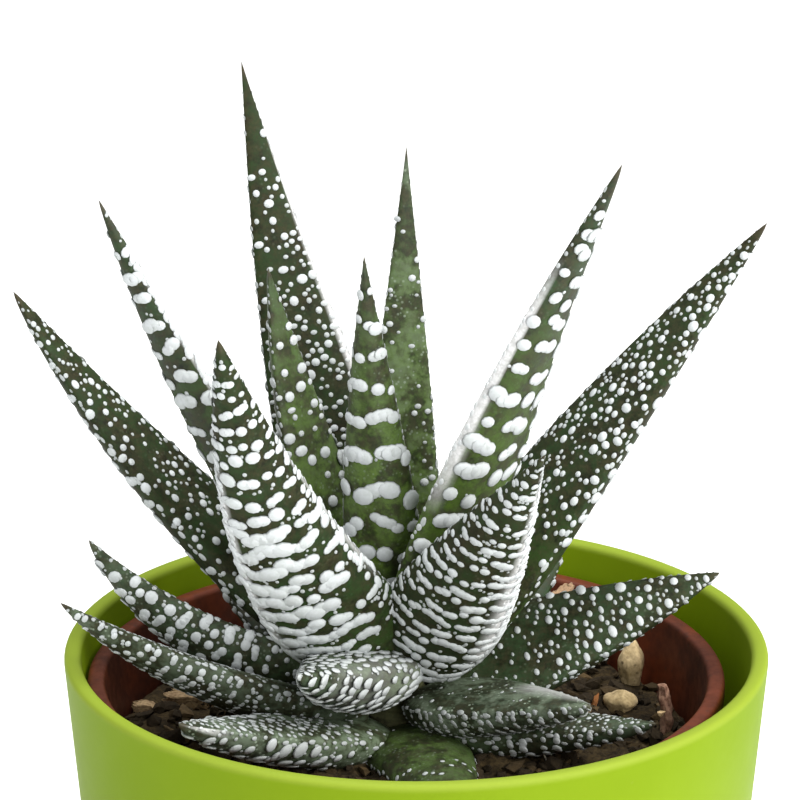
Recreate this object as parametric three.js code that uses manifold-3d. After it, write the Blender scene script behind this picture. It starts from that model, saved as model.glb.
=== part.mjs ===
// A potted haworthia: a rosette of thick pointed leaves with raised tubercles, on a short stem,
// in a grow pot of soil that stands inside a plain tapered cachepot.
// Millimetres, +Z up. The origin is the middle of the cachepot's flat base.

import * as THREE from 'three';
import { mergeVertices } from 'three/addons/utils/BufferGeometryUtils.js';
import Module from 'manifold-3d';

const wasm = await Module();
wasm.setup();

// The gap that touching pieces keep
const CLEARANCE = 0.3;

// Pots: the wall is measured square to the axis
const POT_SEGMENTS = 40;
const CACHEPOT = { height: 62, baseRadius: 29.5, rimRadius: 35, wall: 1.7, floor: 2, edge: 0.9, lip: 0.75 };
// The grow pot stands a little left of the cachepot's middle
const GROW_POT = {
  x: -1, top: 59.2, rimRadius: 31.7, footRadius: 24.4, wall: 0.9, floor: 1.2, lipOut: 0.8, lipDepth: 1.9,
};
const DRAIN = { count: 4, radius: 2.6, circleRadius: 15, sides: 10 };

// Soil: a low mound, lumpy on top
const SOIL = { edgeHeight: 51.8, crownHeight: 54, crownRadius: 8, lump: 0.35, segments: 32 };
const SOIL_RINGS = [26.5, 22.5, 18, 13.5, 9, 4.5];

const STEM = { top: 61.5, topRadius: 2.6, neckHeight: 52, neckRadius: 3.4, rootHeight: 41, rootRadius: 1.2 };
const STEM_SEGMENTS = 20;

// The middle of the rosette stands a little left of the pot's axis
const ROSETTE_X = -2;

// Leaf section: the inner face is nearly flat and the outer one is full
const LEAF_SIDES = 8;
const SMOOTH_STEP = 6;
const INNER_DEPTH = 0.22;
const OUTER_DEPTH = 0.78;

// Tubercles stand in rows: bars and pairs on the outer face, single ones on the inner face and the margins
const ROW_PITCH = 5.3;
const ROW_WIDTH = 1.2;
const BAR_HEIGHT = 0.5;
const DOT_HEIGHT = 0.4;
const MARGIN_HEIGHT = 0.35;
const LEAF_CLEARANCE = BAR_HEIGHT + CLEARANCE;

// Leaves from the innermost to the outermost. Angles are in degrees: heading 0 points along +X and 90
// along +Y and changes by bend up to the tip, rise is above the horizon at mid-length, curl is the rise
// gained from root to tip, and twist rolls the leaf about its length. reach is from the rosette's middle to
// the root, at height root. slim is how much the tip narrows, from 0 for a blunt one;
// past 1 the middle narrows too.
// Columns: heading, rise, curl, length, width, thick, twist, reach, root, slim, bend
const LEAVES = [
  [-110, 79.7, 6, 43.9, 8.8, 3.4, 10, 1, 62, 1.2],
  [82, 82.7, 4, 50, 9.6, 3.2, 15, 1, 62, 2.4],
  [126, 65, 15, 60.3, 15.2, 4.2, -20, 1, 62, 2.7],
  [160, 73.8, 12, 40.7, 9, 3.8, -30, 2, 61, 0.7],
  [-44, 66.2, -11, 60.6, 15, 4.4, 0, 2, 61, 0.85, 14],
  [118, 62, 8, 38, 9.5, 4, 0, 2.5, 59, 0.5],
  [-172, 62.1, 9, 56.1, 9.6, 3.6, 45, 2.5, 60, 0.8],
  [16, 50.5, -7.5, 55.5, 13, 5.4, 22, 3, 60, 0.7],
  [-126, 57.6, 36, 48.7, 14.2, 5, 38, 2.2, 61, 0.4],
  [-60, 50.2, 0, 37.8, 13.4, 5, -38, 3.5, 61.6, 1.5],
  [170, 45.7, 18, 50.8, 11.4, 4.8, -20, 3, 60.7, 0.5],
  [66, 42, 8, 24, 9.5, 4.2, 6, 2.5, 59, 0.5],
  [94, 52, 15, 30, 11, 4.6, -6, 3, 58, 0.5],
  [-114, 13.6, 10, 20.4, 13.2, 7.4, 0, 3, 62.4, 2.4],
  [8, 19.4, 0, 31.6, 13.5, 5.4, 28, 3, 57.5, 0.6],
  [178, 28.4, 46, 32.1, 12, 5, 45, 3, 58, 0.8],
  [46, 20, 15, 23, 11, 4.6, 8, 3, 57, 0.5],
  [142, 26, 15, 27, 11, 4.6, -8, 3, 57, 0.5],
  [-36, 10.2, 0, 20.7, 12, 5.4, 0, 3, 57.5, 0.2],
  [-166, 24.9, 22, 34.1, 13.5, 4.8, 20, 3, 55.5, 1],
  [-74, 4, 0, 21, 12, 3.6, 180, 3, 52.8, 0],
  [84, 15, 10, 25, 11, 4.6, 5, 3, 55, 0.4],
  [-134, 17.2, 8, 28.1, 12, 5.4, 0, 3, 54.2, 0.3],
  [114, 11, 8, 24.5, 10.5, 4.6, -5, 3, 54.5, 0.4],
  [34, 10, 8, 20, 10.5, 4.6, 4, 3, 54.5, 0.4],
  [-24, 9, 5, 25.2, 10, 4.8, 0, 3, 54.4, 0.4],
].map(([heading, rise, curl, length, width, thick, twist, reach, root, slim, bend = 0]) => (
  { heading, rise, curl, length, width, thick, twist, reach, root, slim, bend }
));

// A dried leaf at the back, and the loose bits that lie on the soil
const HUSK = {
  heading: 56, rise: 22, curl: 10, length: 15.5, width: 5, thick: 2.2, twist: 35,
  reach: 16, root: 53.8, slim: 0, bend: -20,
};
const PEBBLES = [
  { x: 20.8, y: 7.6, size: [1.8, 1.5, 1.3], turn: -30 },
  { x: 22.2, y: 14.4, size: [1.3, 1.3, 2.9], turn: 70 },
];
const BARK = [
  { x: -27.2, y: 7.4, size: [1.6, 0.7, 0.6], turn: -45 },
  { x: -23, y: 9.2, size: [2.4, 1.1, 0.7], turn: -35 },
];
const ROOT_BIT = { x: 25.2, y: 1, radius: 0.75, height: 5.2, sunk: 1, lean: 0.6, sides: 7 };

const material = (color, roughness) => new THREE.MeshStandardMaterial({ color, roughness, metalness: 0 });
const MATERIALS = {
  potGreen: material('#8fc428', 0.38),
  potBrown: material('#45211b', 0.55),
  soil: material('#2b211c', 0.95),
  leaf: material('#34472d', 0.5),
  stem: material('#6c7a44', 0.7),
  pebble: material('#b7a076', 0.85),
  bark: material('#9c7f5c', 0.9),
};

const radians = THREE.MathUtils.degToRad;

// Shared corners only, and no triangle that has collapsed to a line
function weld(geometry) {
  geometry.deleteAttribute('normal');
  geometry.deleteAttribute('uv');
  const merged = mergeVertices(geometry, 1e-4);
  const index = merged.index.array;
  const kept = [];
  for (let i = 0; i < index.length; i += 3) {
    const [a, b, c] = index.slice(i, i + 3);
    if (a !== b && b !== c && c !== a) kept.push(a, b, c);
  }
  merged.setIndex(kept);
  return merged;
}

function toSolid(geometry) {
  return new wasm.Manifold(new wasm.Mesh({
    numProp: 3,
    vertProperties: new Float32Array(geometry.attributes.position.array),
    triVerts: new Uint32Array(geometry.index.array),
  }));
}

// The biggest body of a cut solid, so that loose scraps are dropped
function largestBody(solid) {
  const { vertProperties, triVerts } = solid.getMesh();
  const corner = (i) => new THREE.Vector3().fromArray(vertProperties, triVerts[i] * 3);
  const parent = Array.from({ length: vertProperties.length / 3 }, (_, i) => i);
  const find = (i) => {
    while (parent[i] !== i) i = parent[i];
    return i;
  };
  for (let i = 0; i < triVerts.length; i += 3) {
    parent[find(triVerts[i + 1])] = find(triVerts[i]);
    parent[find(triVerts[i + 2])] = find(triVerts[i]);
  }
  const bodies = new Map();
  for (let i = 0; i < triVerts.length; i += 3) {
    const root = find(triVerts[i]);
    if (!bodies.has(root)) bodies.set(root, { volume: 0, corners: [] });
    const body = bodies.get(root);
    body.volume += corner(i).dot(corner(i + 1).cross(corner(i + 2))) / 6;
    body.corners.push(triVerts[i], triVerts[i + 1], triVerts[i + 2]);
  }
  const { corners } = [...bodies.values()].sort((a, b) => b.volume - a.volume)[0];

  const places = new Map();
  const positions = [];
  const index = corners.map((old) => {
    if (!places.has(old)) {
      places.set(old, positions.length / 3);
      positions.push(...vertProperties.slice(old * 3, old * 3 + 3));
    }
    return places.get(old);
  });
  const geometry = new THREE.BufferGeometry();
  geometry.setAttribute('position', new THREE.Float32BufferAttribute(positions, 3));
  geometry.setIndex(index);
  return geometry;
}

function subtractAll(geometry, cutters) {
  const cut = cutters.reduce((solid, cutter) => solid.subtract(cutter), toSolid(geometry));
  return largestBody(cut);
}

// A turned piece: its outline runs from the axis at the bottom, outside first, back to the axis
function turned(outline, segments) {
  const points = outline.map(([radius, height]) => new THREE.Vector2(radius, height));
  return weld(new THREE.LatheGeometry(points, segments).rotateX(Math.PI / 2));
}

function onLine(at, [fromX, fromY], [toX, toY]) {
  return fromY + (toY - fromY) * (at - fromX) / (toX - fromX);
}

function makeCachepot() {
  const { height, baseRadius, rimRadius, wall, floor, edge, lip } = CACHEPOT;
  return turned([
    [0, 0],
    [baseRadius - edge, 0],
    [baseRadius - edge * 0.3, edge * 0.3],
    [baseRadius, edge],
    [rimRadius, height - lip],
    [rimRadius - lip * 0.25, height - lip * 0.3],
    [rimRadius - lip, height],
    [rimRadius - wall + lip * 0.3, height - lip * 0.4],
    [rimRadius - wall, height - lip * 1.3],
    [baseRadius - wall, floor + edge],
    [baseRadius - wall - edge, floor],
    [0, floor],
  ], POT_SEGMENTS);
}

// The grow pot's tapered wall, by height
const growPotFoot = CACHEPOT.floor + CLEARANCE;
const growPotWallTop = GROW_POT.rimRadius - GROW_POT.lipOut;
const growPotOutside = (height) => onLine(
  height, [growPotFoot, GROW_POT.footRadius], [GROW_POT.top, growPotWallTop],
);
const growPotInside = (height) => growPotOutside(height) - GROW_POT.wall;

function makeGrowPot() {
  const { top, rimRadius, lipDepth, floor, wall } = GROW_POT;
  const lipBottom = top - lipDepth;
  const inFloor = growPotFoot + floor;
  const cup = turned([
    [0, growPotFoot],
    [growPotOutside(growPotFoot) - wall, growPotFoot],
    [growPotOutside(inFloor), inFloor],
    [growPotOutside(lipBottom), lipBottom],
    [rimRadius - 0.2, lipBottom],
    [rimRadius, lipBottom + 0.3],
    [rimRadius, top - 0.5],
    [rimRadius - 0.5, top],
    [growPotInside(top) + 0.4, top],
    [growPotInside(top), top - 0.4],
    [growPotInside(inFloor + wall), inFloor + wall],
    [growPotInside(inFloor) - wall, inFloor],
    [0, inFloor],
  ], POT_SEGMENTS).translate(GROW_POT.x, 0, 0);
  const holes = Array.from({ length: DRAIN.count }, (_, i) => {
    const angle = radians(45 + i * 360 / DRAIN.count);
    const hole = new THREE.CylinderGeometry(DRAIN.radius, DRAIN.radius, floor * 4, DRAIN.sides);
    hole.rotateX(Math.PI / 2);
    const [x, y] = [Math.cos(angle) * DRAIN.circleRadius, Math.sin(angle) * DRAIN.circleRadius];
    hole.translate(GROW_POT.x + x, y, growPotFoot);
    return toSolid(weld(hole));
  });
  return subtractAll(cup, holes);
}

// Height of the soil, a mound with lumps
function soilTop(x, y) {
  const radius = Math.hypot(x - ROSETTE_X, y);
  const mound = Math.exp(-((radius / (2 * SOIL.crownRadius)) ** 2));
  const fine = Math.sin(x * 0.9 + 1.3 * Math.sin(y * 0.5)) * Math.cos(y * 0.8 + 0.7);
  const lumps = fine + 0.6 * Math.sin(x * 0.35 - y * 0.6);
  return SOIL.edgeHeight + (SOIL.crownHeight - SOIL.edgeHeight) * mound + SOIL.lump * lumps;
}

function makeSoil(cutters) {
  const bottom = growPotFoot + GROW_POT.floor + CLEARANCE;
  const footRadius = growPotInside(bottom) - GROW_POT.wall - CLEARANCE;
  const edgeRadius = growPotInside(SOIL.edgeHeight) - CLEARANCE;
  const top = SOIL_RINGS.map((radius) => [radius, SOIL.edgeHeight]);
  const soil = turned([
    [0, bottom],
    [footRadius, bottom],
    [edgeRadius, SOIL.edgeHeight - 0.5],
    ...top,
    [0, SOIL.edgeHeight],
  ], SOIL.segments).translate(GROW_POT.x, 0, 0);
  const corners = soil.attributes.position;
  for (let i = 0; i < corners.count; i += 1) {
    const onTop = corners.getZ(i) === Math.fround(SOIL.edgeHeight);
    if (onTop) corners.setZ(i, soilTop(corners.getX(i), corners.getY(i)));
  }
  return subtractAll(soil, cutters);
}

function makeStem(grow = 0) {
  const { top, topRadius, neckHeight, neckRadius, rootHeight, rootRadius } = STEM;
  const stem = turned([
    [0, rootHeight - grow],
    [rootRadius + grow, rootHeight - grow],
    [neckRadius + grow, neckHeight],
    [topRadius + grow, top - 1],
    [topRadius * 0.6 + grow, top + grow],
    [0, top + grow],
  ], STEM_SEGMENTS);
  return stem.translate(ROSETTE_X, 0, 0);
}

// Share of the full width at s, which runs from 0 at the root to 1 at the tip
function swell(s, slim) {
  const foot = 0.62 + 0.38 * Math.sin(Math.min(s / 0.3, 1) * Math.PI / 2);
  const fall = 2 - 0.4 * Math.abs(1 - slim);
  return foot * Math.max(1 - s ** fall, 0) ** (0.8 + 0.3 * Math.min(slim, 1));
}

// Directions of a leaf at s: along it, across it, and out of its inner face
function leafFrame({ heading, bend, rise, curl, twist }, s) {
  const turn = radians(heading + bend * s);
  const climb = radians(rise + curl * (s - 0.5));
  const level = new THREE.Vector3(Math.cos(turn), Math.sin(turn), 0);
  const along = level.clone().multiplyScalar(Math.cos(climb)).setZ(Math.sin(climb));
  const across = new THREE.Vector3(-level.y, level.x, 0).applyAxisAngle(along, radians(twist));
  const inward = new THREE.Vector3().crossVectors(along, across);
  return { along, across, inward };
}

// Places along a leaf where its section is drawn: low, high and low again across each row of tubercles
function rowPlaces(length) {
  const rows = Math.round(length / ROW_PITCH);
  const flank = ROW_WIDTH / 2 / length;
  const places = [{ s: 0 }];
  for (let row = 0; row < rows; row += 1) {
    const s = (row + 0.8) / (rows + 0.6);
    places.push({ s: s - flank }, { s, row }, { s: s + flank });
  }
  return places;
}

function smoothPlaces(length) {
  const rings = Math.max(Math.round(length / SMOOTH_STEP), 6);
  return Array.from({ length: rings }, (_, i) => ({ s: i / rings }));
}

// How far a corner of the section stands up where it crosses a row of tubercles
function tubercleHeight({ s, row }, side) {
  const fade = Math.min(s / 0.15, 1) * Math.min((1 - s) / 0.25, 1);
  const half = LEAF_SIDES / 2;
  if (row === undefined) return 0;
  if (side % half === 0) return (row + side / half) % 2 ? MARGIN_HEIGHT * fade : 0;
  if (side < half) return (row + side) % 2 ? DOT_HEIGHT * fade : 0;
  return row % 2 === 0 || side % 2 ? BAR_HEIGHT * fade : 0;
}

// A leaf as rings of corners from its root to its pointed tip. grow swells it all over, to cut its neighbours
function makeLeaf(leaf, { relief = true, grow = 0 } = {}) {
  const { heading, length, width, thick, reach, root, slim } = leaf;
  const places = relief ? rowPlaces(length) : smoothPlaces(length);
  const rings = places.length;
  const turn = radians(heading);
  const middle = new THREE.Vector3(ROSETTE_X + reach * Math.cos(turn), reach * Math.sin(turn), root);
  middle.addScaledVector(leafFrame(leaf, 0).along, -grow);
  const positions = [];
  places.forEach((place, ring) => {
    const { s } = place;
    const { across, inward } = leafFrame(leaf, s);
    const share = swell(s, slim);
    const halfWidth = width / 2 * share;
    const depth = thick * share ** 0.7;
    for (let side = 0; side < LEAF_SIDES; side += 1) {
      const angle = side / LEAF_SIDES * 2 * Math.PI;
      const halfDepth = depth * (Math.sin(angle) > 0 ? INNER_DEPTH : OUTER_DEPTH);
      const outward = across.clone().multiplyScalar(Math.cos(angle) * halfDepth);
      outward.addScaledVector(inward, Math.sin(angle) * halfWidth).normalize();
      const corner = middle.clone().addScaledVector(across, Math.cos(angle) * halfWidth);
      corner.addScaledVector(inward, Math.sin(angle) * halfDepth);
      corner.addScaledVector(outward, grow + tubercleHeight(place, side));
      positions.push(...corner.toArray());
    }
    const next = ring + 1 < rings ? places[ring + 1].s : 1;
    middle.addScaledVector(leafFrame(leaf, (s + next) / 2).along, (length + 2 * grow) * (next - s));
  });
  const rootMiddle = rings * LEAF_SIDES;
  const rootPlace = [0, 1, 2].map((axis) => (positions[axis] + positions[axis + 3 * LEAF_SIDES / 2]) / 2);
  positions.push(...rootPlace, ...middle.toArray());

  const index = [];
  for (let side = 0; side < LEAF_SIDES; side += 1) {
    const next = (side + 1) % LEAF_SIDES;
    index.push(rootMiddle, next, side);
    for (let ring = 0; ring < rings - 1; ring += 1) {
      const [a, b] = [ring * LEAF_SIDES + side, ring * LEAF_SIDES + next];
      index.push(a, b, b + LEAF_SIDES, a, b + LEAF_SIDES, a + LEAF_SIDES);
    }
    const last = (rings - 1) * LEAF_SIDES;
    index.push(last + side, last + next, rootMiddle + 1);
  }
  const geometry = new THREE.BufferGeometry();
  geometry.setAttribute('position', new THREE.Float32BufferAttribute(positions, 3));
  geometry.setIndex(index);
  return geometry;
}

// Loose bits. grow swells each one, to press its bed into the soil
function makePebble({ x, y, size, turn }, grow = 0) {
  const pebble = weld(new THREE.IcosahedronGeometry(1, 1));
  const corners = pebble.attributes.position;
  for (let i = 0; i < corners.count; i += 1) {
    const [u, v, w] = [corners.getX(i), corners.getY(i), corners.getZ(i)];
    const uneven = 1 + 0.1 * Math.sin(4 * u + 1) * Math.cos(3 * v) + 0.06 * Math.sin(5 * w);
    corners.setXYZ(i, u * uneven, v * uneven, w * uneven);
  }
  pebble.scale(size[0] + grow, size[1] + grow, size[2] + grow);
  pebble.rotateZ(radians(turn));
  return pebble.translate(x, y, soilTop(x, y) + size[2] * 0.6);
}

function makeBark({ x, y, size, turn }, grow = 0) {
  const chip = weld(new THREE.BoxGeometry(1, 1, 1, 4, 2, 1));
  const corners = chip.attributes.position;
  for (let i = 0; i < corners.count; i += 1) {
    const [u, v, w] = [corners.getX(i), corners.getY(i), corners.getZ(i)];
    const taper = 1 - 0.5 * Math.abs(u);
    corners.setXYZ(i, u, v * taper + 0.15 * Math.sin(5 * u), w * taper + 0.1 * Math.cos(6 * u + 3 * v));
  }
  chip.scale(size[0] * 2 + grow * 2, size[1] * 2 + grow * 2, size[2] * 2 + grow * 2);
  chip.rotateZ(radians(turn));
  return chip.translate(x, y, soilTop(x, y) + size[2] * 0.5);
}

function makeRootBit(grow = 0) {
  const { x, y, radius, height, sunk, lean, sides } = ROOT_BIT;
  const full = height + sunk + 2 * grow;
  const stick = weld(new THREE.CylinderGeometry(radius * 0.6 + grow, radius + grow, full, sides, 4));
  stick.rotateX(Math.PI / 2);
  const corners = stick.attributes.position;
  for (let i = 0; i < corners.count; i += 1) {
    const up = corners.getZ(i) / full + 0.5;
    corners.setX(i, corners.getX(i) - lean * up ** 2);
  }
  return stick.translate(x, y, soilTop(x, y) - sunk - grow + full / 2);
}

const group = new THREE.Group();
function add(name, geometry, finish) {
  const mesh = new THREE.Mesh(geometry, finish);
  mesh.name = name;
  group.add(mesh);
}

add('outer_pot', makeCachepot(), MATERIALS.potGreen);
add('nursery_pot', makeGrowPot(), MATERIALS.potBrown);
add('stem', makeStem(), MATERIALS.stem);

// Each leaf gives way to the stem and to the leaves inside it, as the young leaves push the older ones out
const cutters = [toSolid(makeStem(CLEARANCE))];
[...LEAVES, HUSK].forEach((leaf, i) => {
  const isHusk = leaf === HUSK;
  const body = subtractAll(makeLeaf(leaf, { relief: !isHusk }), cutters);
  const name = isHusk ? 'husk' : `leaf_${String(i + 1).padStart(2, '0')}`;
  add(name, body, isHusk ? MATERIALS.bark : MATERIALS.leaf);
  const grow = isHusk ? CLEARANCE : LEAF_CLEARANCE;
  cutters.push(toSolid(makeLeaf(leaf, { relief: false, grow })));
});

PEBBLES.forEach((pebble, i) => {
  add(`pebble_${i + 1}`, makePebble(pebble), MATERIALS.pebble);
  cutters.push(toSolid(makePebble(pebble, CLEARANCE)));
});
BARK.forEach((chip, i) => {
  add(`bark_${i + 1}`, makeBark(chip), MATERIALS.bark);
  cutters.push(toSolid(makeBark(chip, CLEARANCE)));
});
add('root_bit', makeRootBit(), MATERIALS.bark);
cutters.push(toSolid(makeRootBit(CLEARANCE)));

add('soil', makeSoil(cutters), MATERIALS.soil);

export default group;
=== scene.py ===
import math
import random

import bpy
import numpy as np
from mathutils import Matrix, Vector, noise
from mathutils.bvhtree import BVHTree


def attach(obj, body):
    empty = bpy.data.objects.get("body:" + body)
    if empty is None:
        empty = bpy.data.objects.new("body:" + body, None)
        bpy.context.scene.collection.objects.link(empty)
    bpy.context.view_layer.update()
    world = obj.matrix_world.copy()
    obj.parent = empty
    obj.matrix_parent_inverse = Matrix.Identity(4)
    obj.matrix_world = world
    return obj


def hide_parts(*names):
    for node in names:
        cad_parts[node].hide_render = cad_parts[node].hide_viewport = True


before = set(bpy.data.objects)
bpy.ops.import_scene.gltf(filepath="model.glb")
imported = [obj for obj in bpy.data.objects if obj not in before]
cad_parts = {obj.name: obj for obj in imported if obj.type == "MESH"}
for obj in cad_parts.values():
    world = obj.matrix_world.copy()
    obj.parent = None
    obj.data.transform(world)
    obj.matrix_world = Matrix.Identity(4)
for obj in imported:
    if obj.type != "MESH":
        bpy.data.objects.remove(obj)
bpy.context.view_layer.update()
mm = 0.001
rosetteX = -2.0  # the middle of the rosette
print("frame loaded:", len(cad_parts), "nodes")


camera = dict(
    target=(-1.61, 0, 87.71), distance=450, elevation=18.84, lens=207.5, sensor=36,
    nearest=0.01, farthest=20)
lights = {
    "keyLight": dict(place=(680, -330, 560), size=420, power=10, colour=(1.0, 0.99, 0.96)),
    "frontLight": dict(place=(330, -770, 260), size=520, power=5.6, colour=(1.0, 1.0, 1.0)),
    "sideLight": dict(place=(-720, -160, 420), size=460, power=1.9, colour=(0.97, 0.99, 1.0)),
    "topLight": dict(place=(-40, 60, 900), size=560, power=8.5, colour=(1.0, 1.0, 1.0)),
}
studio = dict(lightAim=(0, 0, 70), worldStrength=0.38, floorSize=6, floorGrey=0.93)


def selectOnly(*pieces):
    bpy.ops.object.select_all(action="DESELECT")
    for piece in pieces:
        piece.select_set(True)
    if pieces:
        bpy.context.view_layer.objects.active = pieces[0]


def addCamera():
    selectOnly()
    climb = math.radians(camera["elevation"])
    back = Vector((0, -math.cos(climb), math.sin(climb)))
    place = (Vector(camera["target"]) + back * camera["distance"]) * mm
    bpy.ops.object.camera_add(location=place, rotation=(math.pi / 2 - climb, 0, 0))
    cam = bpy.context.object
    cam.data.lens = camera["lens"]
    cam.data.sensor_width = camera["sensor"]
    cam.data.clip_start = camera["nearest"]
    cam.data.clip_end = camera["farthest"]
    bpy.context.scene.camera = cam


def addLights():
    for name, spec in lights.items():
        place = Vector(spec["place"]) * mm
        aim = (place - Vector(studio["lightAim"]) * mm).to_track_quat("Z", "Y").to_euler()
        bpy.ops.object.light_add(type="AREA", location=place, rotation=aim)
        lamp = bpy.context.object
        lamp.name = name
        lamp.data.energy = spec["power"]
        lamp.data.size = spec["size"] * mm
        lamp.data.color = spec["colour"]
    world = bpy.data.worlds.new("studio")
    world.use_nodes = True
    background = world.node_tree.nodes["Background"]
    background.inputs["Color"].default_value = (1, 1, 1, 1)
    background.inputs["Strength"].default_value = studio["worldStrength"]
    bpy.context.scene.world = world
    bpy.context.scene.view_settings.view_transform = "Standard"


addCamera()
addLights()
print("camera and lights placed")


def newGroup(name, inputs, output):
    # a node group that takes a place and the named values, and gives one value
    group = bpy.data.node_groups.new(name, "ShaderNodeTree")
    group.interface.new_socket("Place", in_out="INPUT", socket_type="NodeSocketVector")
    for label, value in inputs.items():
        kind = "NodeSocketVector" if isinstance(value, tuple) else "NodeSocketFloat"
        group.interface.new_socket(label, in_out="INPUT", socket_type=kind).default_value = value
    group.interface.new_socket(output, in_out="OUTPUT", socket_type="NodeSocketFloat")
    return group, group.nodes.new("NodeGroupInput"), group.nodes.new("NodeGroupOutput")


def addNode(tree, kind, values=(), **settings):
    node = tree.nodes.new("ShaderNode" + kind)
    for key, value in settings.items():
        setattr(node, key, value)
    for key, value in dict(values).items():
        node.inputs[key].default_value = value
    return node


def feed(tree, value, socket):
    # a number or a colour is set on the socket, and anything else is linked to it
    if isinstance(value, (int, float)):
        socket.default_value = value
    elif isinstance(value, tuple):
        socket.default_value = (*value, 1)
    else:
        tree.links.new(value, socket)


def calc(tree, operation, *values, clamp=False):
    node = addNode(tree, "Math", operation=operation, use_clamp=clamp)
    for value, socket in zip(values, node.inputs):
        feed(tree, value, socket)
    return node.outputs[0]


def mixColours(tree, share, first, second):
    node = addNode(tree, "Mix", data_type="RGBA")
    for value, index in ((share, 0), (first, 6), (second, 7)):
        feed(tree, value, node.inputs[index])
    return node.outputs[2]


def ramp(tree, value, low, high, toLow=0.0, toHigh=1.0):
    node = addNode(tree, "MapRange", interpolation_type="SMOOTHSTEP", clamp=True)
    tree.links.new(value, node.inputs["Value"])
    for key, number in (("From Min", low), ("From Max", high), ("To Min", toLow), ("To Max", toHigh)):
        node.inputs[key].default_value = number
    return node.outputs["Result"]


def makeMottleGroup():
    # cloudy patches over fine grain, as a mask from 0 to 1
    inputs = {"Patch Scale": 150.0, "Grain Scale": 1200.0, "Grain Share": 0.35}
    group, start, end = newGroup("mottle", inputs, "Mask")
    patches = addNode(group, "TexNoise", {"Detail": 3.0, "Roughness": 0.55})
    grain = addNode(group, "TexNoise", {"Detail": 2.0, "Roughness": 0.6})
    for texture, scale in ((patches, "Patch Scale"), (grain, "Grain Scale")):
        group.links.new(start.outputs["Place"], texture.inputs["Vector"])
        group.links.new(start.outputs[scale], texture.inputs["Scale"])
    fromPatches = ramp(group, patches.outputs["Fac"], 0.36, 0.64)
    fromGrain = ramp(group, grain.outputs["Fac"], 0.3, 0.7)
    spread = calc(group, "SUBTRACT", fromGrain, fromPatches)
    mask = calc(group, "MULTIPLY_ADD", spread, start.outputs["Grain Share"], fromPatches)
    group.links.new(mask, end.inputs["Mask"])
    return group


def makeSpeckGroup():
    # small round specks, kept where a slower noise allows them
    group, start, end = newGroup("specks", {"Scale": 1400.0, "Size": 0.25, "Cover": 0.5}, "Mask")
    cells = addNode(group, "TexVoronoi", feature="F1")
    where = addNode(group, "TexNoise", {"Scale": 260.0, "Detail": 2.0})
    group.links.new(start.outputs["Place"], cells.inputs["Vector"])
    group.links.new(start.outputs["Scale"], cells.inputs["Scale"])
    group.links.new(start.outputs["Place"], where.inputs["Vector"])
    inside = calc(group, "SUBTRACT", start.outputs["Size"], cells.outputs["Distance"])
    disc = calc(group, "MULTIPLY", inside, 9.0, clamp=True)
    limit = calc(group, "SUBTRACT", 1.0, start.outputs["Cover"])
    allowed = calc(group, "SUBTRACT", where.outputs["Fac"], limit)
    kept = calc(group, "MULTIPLY_ADD", allowed, 6.0, 0.5, clamp=True)
    group.links.new(calc(group, "MULTIPLY", disc, kept), end.inputs["Mask"])
    return group


def makeGrainGroup():
    # height of a fine uneven skin
    group, start, end = newGroup("skinGrain", {"Scale": 2000.0, "Stretch": (1.0, 1.0, 1.0)}, "Height")
    shape = addNode(group, "VectorMath", operation="MULTIPLY")
    group.links.new(start.outputs["Place"], shape.inputs[0])
    group.links.new(start.outputs["Stretch"], shape.inputs[1])
    fine = addNode(group, "TexNoise", {"Detail": 4.0, "Roughness": 0.6})
    cells = addNode(group, "TexVoronoi", feature="SMOOTH_F1")
    for texture in (fine, cells):
        group.links.new(shape.outputs[0], texture.inputs["Vector"])
        group.links.new(start.outputs["Scale"], texture.inputs["Scale"])
    height = calc(group, "MULTIPLY_ADD", cells.outputs["Distance"], 0.6, fine.outputs["Fac"])
    group.links.new(height, end.inputs["Height"])
    return group


mottleGroup, speckGroup, grainGroup = makeMottleGroup(), makeSpeckGroup(), makeGrainGroup()


def newMaterial(name):
    material = bpy.data.materials.new(name)
    material.use_nodes = True
    tree = material.node_tree
    shader = tree.nodes["Principled BSDF"]
    place = addNode(tree, "TexCoord").outputs["Object"]
    return material, tree, shader, place


def useGroup(tree, group, place, values):
    node = tree.nodes.new("ShaderNodeGroup")
    node.node_tree = group
    tree.links.new(place, node.inputs["Place"])
    for key, value in values.items():
        node.inputs[key].default_value = value
    return node.outputs[0]


def addMottle(tree, place, patch, grain, share):
    values = {"Patch Scale": patch, "Grain Scale": grain, "Grain Share": share}
    return useGroup(tree, mottleGroup, place, values)


def addSpecks(tree, place, scale, size, cover, strength):
    specks = useGroup(tree, speckGroup, place, {"Scale": scale, "Size": size, "Cover": cover})
    return calc(tree, "MULTIPLY", specks, strength)


def setSurface(tree, shader, colour, roughness, gloss):
    feed(tree, colour, shader.inputs["Base Color"])
    feed(tree, roughness, shader.inputs["Roughness"])
    shader.inputs["Specular IOR Level"].default_value = gloss


def addGrain(tree, shader, place, scale, strength, distance, stretch=(1.0, 1.0, 1.0)):
    # a fine uneven skin as bump, with its distance in mm
    height = useGroup(tree, grainGroup, place, {"Scale": scale, "Stretch": stretch})
    bump = addNode(tree, "Bump", {"Strength": strength, "Distance": distance * mm})
    tree.links.new(height, bump.inputs["Height"])
    tree.links.new(bump.outputs["Normal"], shader.inputs["Normal"])


def finishPiece(piece, name, material, node):
    piece.name = name
    piece.data.name = name
    piece.data.materials.clear()
    piece.data.materials.append(material)
    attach(piece, "root")
    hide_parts(node)


def applyModifiers(piece):
    selectOnly(piece)
    for modifier in list(piece.modifiers):
        bpy.ops.object.modifier_apply(modifier=modifier.name)


def joinPieces(pieces):
    selectOnly(*pieces)
    bpy.ops.object.join()
    return pieces[0]


def smoothPiece(piece, angle=40):
    selectOnly(piece)
    bpy.ops.object.shade_smooth_by_angle(angle=math.radians(angle))


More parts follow.
